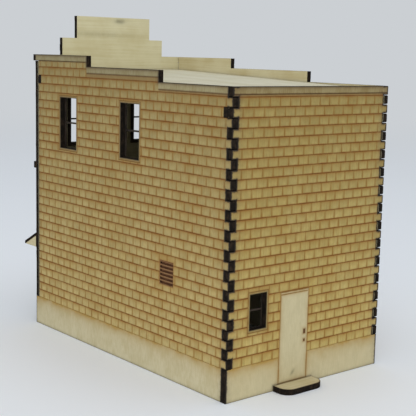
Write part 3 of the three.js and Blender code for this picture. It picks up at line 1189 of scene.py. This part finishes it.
@dataclass
class Walls:
    """The four wall sheets."""

    front_run: float = 55.7
    rear_run: float = 57.0
    rear_top: float = 151.2
    vent_from_front: float = 125.4
    vent_width: float = 10.8
    vent_bottom: float = 49.2
    vent_top: float = 61.2
    shoulder_half: float = 37.2
    shoulder_top: float = 173.4
    crest_half: float = 27.0
    crest_top: float = 186.6

    def side(self, name: str, facing: Facing) -> EngravedWall:
        """A side wall with its stepped parapet, two windows and a louvred vent."""
        low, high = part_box(name)
        front, rear = low.y / MM, high.y / MM
        steps = (front + self.front_run, rear - self.rear_run)
        runs = [
            Run(front, steps[0], self.rear_top + 2 * PARAPET_STEP),
            Run(steps[0], steps[1], self.rear_top + PARAPET_STEP),
            Run(steps[1], rear, self.rear_top, coping_tone=1.15),
        ]
        word = name.removeprefix("side_wall_")
        openings = [opening_rect(f"window_{word}_{spot}", facing) for spot in ("front", "rear")]
        vent_u = front + self.vent_from_front
        vent = Rect(vent_u, vent_u + self.vent_width, self.vent_bottom, self.vent_top)
        ends = [
            End(rear, 1, even=True, odd=False, plinth=False, reach=0.7),
            End(front, -1, even=False, odd=False, plinth=True, cap=True),
        ]
        inner = Smudge((low.x / MM, 18.0, 150.0), (9.0, 17.0, 1.6), 0.35)
        return EngravedWall(name, facing, Bond(rear - 4.74, rear - 1.38, 6.6), runs, ends, openings,
                            vents=[vent], inner_smudges=(inner,))

    def rear(self) -> EngravedWall:
        """The rear wall with its engraved door and small window."""
        low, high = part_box("rear_wall")
        left, right = low.x / MM, high.x / MM
        step_low, step_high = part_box("rear_doorstep")
        floor = step_high.z / MM
        door = Rect(-0.2, 19.3, floor, 48.8)
        lintel = Rect(door.u0, door.u1, door.v1, door.v1 + 1.1)
        knob = Rect(1.6, 2.5, 26.8, 28.7)
        keyhole = Rect(1.7, 2.3, 22.7, 23.4)
        opening = opening_rect("window_rear", Facing.REAR)
        ends = [
            End(edge, sign, even=False, odd=True, plinth=True, reach=reach)
            for edge, sign, reach in ((right, 1, 0.85), (left, -1, 0.95))
        ]
        face = high.y / MM
        smudge = Smudge((9.4, face, 7.6), (1.0, 5.0, 1.3), 0.75, slant=-0.6)
        shadow = Rect(step_low.x / MM, step_high.x / MM, 0.0, floor + 0.2)
        golden = Stone(pale=srgb(194, 175, 111), tan=srgb(182, 160, 94), coping=srgb(150, 136, 98),
                       coping_dark=srgb(132, 114, 74), plinth=srgb(199, 187, 149))
        return EngravedWall("rear_wall", Facing.REAR, Bond(right - 2.89, right - 6.3, 6.76),
                            [Run(left, right, self.rear_top)], ends, [opening],
                            plain=[door, lintel], pits=[knob, keyhole], smudges=(smudge,), shadow=shadow,
                            finish=golden)

    def front(self) -> EngravedWall:
        """The front wall: two-stepped false front, shop front, two upper windows."""
        low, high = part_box("front_wall")
        left, right = low.x / MM, high.x / MM
        tops = (self.rear_top + 2 * PARAPET_STEP, self.shoulder_top, self.crest_top)
        edges = (left, -self.shoulder_half, -self.crest_half, self.crest_half, self.shoulder_half, right)
        runs = [Run(u0, u1, tops[min(i, 4 - i)]) for i, (u0, u1) in enumerate(zip(edges, edges[1:]))]
        upper = [opening_rect(f"window_front_{side}", Facing.FRONT) for side in ("left", "right")]
        shop = [opening_rect(f"shop_window_{side}", Facing.FRONT) for side in ("left", "right")]
        door = opening_rect("front_door", Facing.FRONT)
        facade = Rect(-48.6, 48.6, PLINTH, 58.0)
        sign = Rect(-23.625, 23.625, 165.6, 180.0)
        risers = [Rect(area.u0, area.u1, 4.5, 14.7) for area in shop]
        ends = [End(edge, sign_, even=True, odd=True, plinth=False, cap=False)
                for edge, sign_ in ((right, 1), (left, -1))]
        face = high.y / MM
        burn = Smudge((-4.3, face, 184.4), (4.0, 5.0, 1.5), 0.75)
        haze = Smudge((10.0, face, 176.0), (26.0, 5.0, 2.0), 0.25)
        return EngravedWall("front_wall", Facing.FRONT, Bond(0.0, 3.375, 6.75), runs, ends,
                            [*upper, *shop, door], plain=[facade, sign, *risers],
                            inner_smudges=(burn, haze),
                            inner_tones=(srgb(211, 204, 169), srgb(194, 183, 141)))

    def build(self) -> None:
        """Builds the walls."""
        sides = [self.side("side_wall_right", Facing.RIGHT), self.side("side_wall_left", Facing.LEFT)]
        for wall in (*sides, self.rear(), self.front()):
            wall.build()


def build_plain_sheets() -> None:
    """Builds every piece that carries no engraving."""
    bare = Plywood("bare_plywood_panel")
    across_bare = Plywood("bare_plywood_crosswise", grain_axis=0)
    roof = Plywood("roof_plywood", srgb(212, 207, 183), srgb(198, 190, 160))
    trim = Plywood("trim_plywood", srgb(190, 181, 146), srgb(170, 158, 118), grain_axis=0)
    card = Card("scorched_card")
    lengthwise = ("floor_ledger_right", "floor_ledger_left")
    crosswise = ("front_door", "rear_doorstep", "front_doorstep")
    card_nodes = [f"window_{side}_{spot}" for side in ("right", "left") for spot in ("front", "rear")]
    card_nodes += ["window_front_left", "window_front_right", "window_rear"]
    card_nodes += ["shop_window_left", "shop_window_right"]
    sheets = [
        CutSheet("roof_deck", roof, "roof_plywood", "roof"),
        CutSheet("upper_floor", bare, "plain_plywood", "floor"),
        *(CutSheet(node, bare, "plain_plywood") for node in lengthwise),
        *(RoofBar(f"roof_bar_{spot}", across_bare, "plain_plywood") for spot in ("front", "rear")),
        *(CutSheet(node, trim, "trim_plywood") for node in ("cornice", "string_course", "awning_board")),
        *(CutSheet(node, across_bare, "plain_plywood") for node in crosswise),
        *(CutSheet(f"awning_bracket_{spot}", bare, "plain_plywood", bevel=0.02, rim_width=0.15,
                   squareness=0.999) for spot in ("left", "inner_left", "inner_right", "right")),
        *(CutSheet(node, card, "dark_card", bevel=0.08) for node in card_nodes),
    ]
    for sheet in sheets:
        sheet.build()


# ---------------- studio


@dataclass(frozen=True)
class Studio:
    """Plain pale floor, even soft light, and the camera."""

    backdrop: Colour = srgb(203, 207, 211)
    floor_colour: Colour = (0.89, 0.915, 0.95)
    floor_radius: float = 6.0
    fade_start: float = 0.5
    fade_end: float = 2.2
    aim_height: float = 0.03
    lens: float = 84.77
    camera_place: Colour = (0.349608, 0.429282, 0.165594)
    camera_tilt: float = 81.0671  # degrees up from looking straight down
    camera_roll: float = -1.2803
    camera_turn: float = 140.3574

    def hang(self, name: str, data: bpy.types.ID) -> Piece:
        """Puts a camera or a light in the scene."""
        made = bpy.data.objects.new(name, data)
        bpy.context.scene.collection.objects.link(made)
        return made

    def camera(self) -> None:
        """The camera, a little above the roof line and off the rear corner."""
        data = bpy.data.cameras.new("camera")
        data.lens = self.lens
        data.sensor_width = 36.0
        data.clip_start = 0.01
        data.clip_end = 50.0
        camera = self.hang("camera", data)
        camera.location = self.camera_place
        angles = (self.camera_tilt, self.camera_roll, self.camera_turn)
        camera.rotation_euler = tuple(math.radians(angle) for angle in angles)
        bpy.context.scene.camera = camera

    def floor(self) -> None:
        """A round floor whose far edge fades into the backdrop's own light."""
        bpy.ops.mesh.primitive_circle_add(vertices=96, radius=self.floor_radius, fill_type="NGON")
        floor = bpy.context.object
        floor.name = "floor"
        graph = Graph("floor")
        x, y, _ = graph.axes
        radius = graph.math("POWER", x * x + y * y, 0.5)
        share = radius.ease(self.fade_start / MM, self.fade_end / MM)
        cloud = graph.noise(300.0, 2.0, 0.5, 6.0)
        tone = graph.blend(cloud, self.floor_colour, tuple(0.985 * level for level in self.floor_colour))
        paint = graph.paint(tone, 0.7, 0.2)
        glow = graph.node("ShaderNodeEmission")
        glow.inputs["Color"].default_value = (*self.backdrop, 1.0)
        mix = graph.node("ShaderNodeMixShader")
        graph.feed(mix.inputs[0], share)
        graph.tree.links.new(paint.outputs[0], mix.inputs[1])
        graph.tree.links.new(glow.outputs[0], mix.inputs[2])
        floor.data.materials.append(graph.close(mix))

    def world(self) -> None:
        """Even light from all round, in the backdrop's colour."""
        world = bpy.data.worlds.new("studio")
        world.use_nodes = True
        shade = world.node_tree.nodes["Background"]
        shade.inputs["Color"].default_value = (*self.backdrop, 1.0)
        shade.inputs["Strength"].default_value = 1.0
        bpy.context.scene.world = world

    def softbox(self, name: str, spot: Vector, size: float, power: float) -> None:
        """A square area light aimed at the middle of the building.

        Args:
            name: The light's name.
            spot: Where it hangs, in metres.
            size: Length of its side, in metres.
            power: Its power in watts.
        """
        data = bpy.data.lights.new(name, "AREA")
        data.size = size
        data.energy = power
        light = self.hang(name, data)
        target = Vector((0.0, 0.0, self.aim_height))
        light.location = spot
        light.rotation_mode = "QUATERNION"
        light.rotation_quaternion = (target - spot).to_track_quat("-Z", "Y")

    def build(self) -> None:
        """Sets the whole studio up."""
        view = bpy.context.scene.view_settings
        view.view_transform = "Standard"
        view.look = "None"
        self.camera()
        self.floor()
        self.world()
        self.softbox("overhead", Vector((0.1, 0.3, 1.3)), 1.2, 3.7)
        self.softbox("rear_corner", Vector((0.85, 0.95, 0.3)), 0.7, 5.5)


def main() -> None:
    """Builds the studio and the building."""
    logging.basicConfig(level=logging.INFO, format="%(name)s: %(message)s")
    select_only(next(iter(frame["nodes"].values())))
    Studio().build()
    Walls().build()
    build_plain_sheets()


if __name__ == "__main__":
    main()
